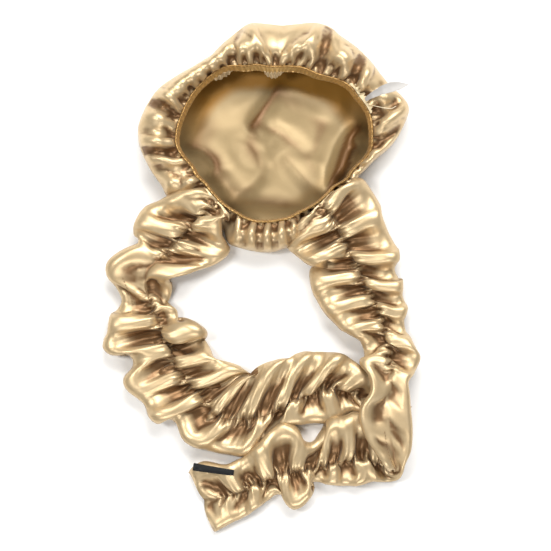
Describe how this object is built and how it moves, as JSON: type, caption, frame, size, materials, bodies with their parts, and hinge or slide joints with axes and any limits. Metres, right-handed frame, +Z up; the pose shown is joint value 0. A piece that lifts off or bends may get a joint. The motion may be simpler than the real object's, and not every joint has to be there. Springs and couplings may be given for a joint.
{
  "type": "sleep bonnet",
  "caption": "Satin sleep bonnet with a gathered bag crown, an elastic band and long shirred ties, lying mouth up.",
  "frame": {"origin": "on the surface that the bonnet rests on, under the middle of its whole outline", "axes": "+Z up out of the bonnet's open mouth, +Y from the crossing of the ties to the top of the crown"},
  "size_m": [0.3425, 0.5578, 0.058],
  "materials": {
    "champagne_satin": "satin",
    "white_ribbon": "satin",
    "black_ribbon": "satin"
  },
  "bodies": {
    "root": {"crown": "champagne_satin", "band": "champagne_satin", "left_tie": "champagne_satin", "right_tie": "champagne_satin", "care_label": "white_ribbon", "end_tab": "black_ribbon"}
  },
  "joints": []
}
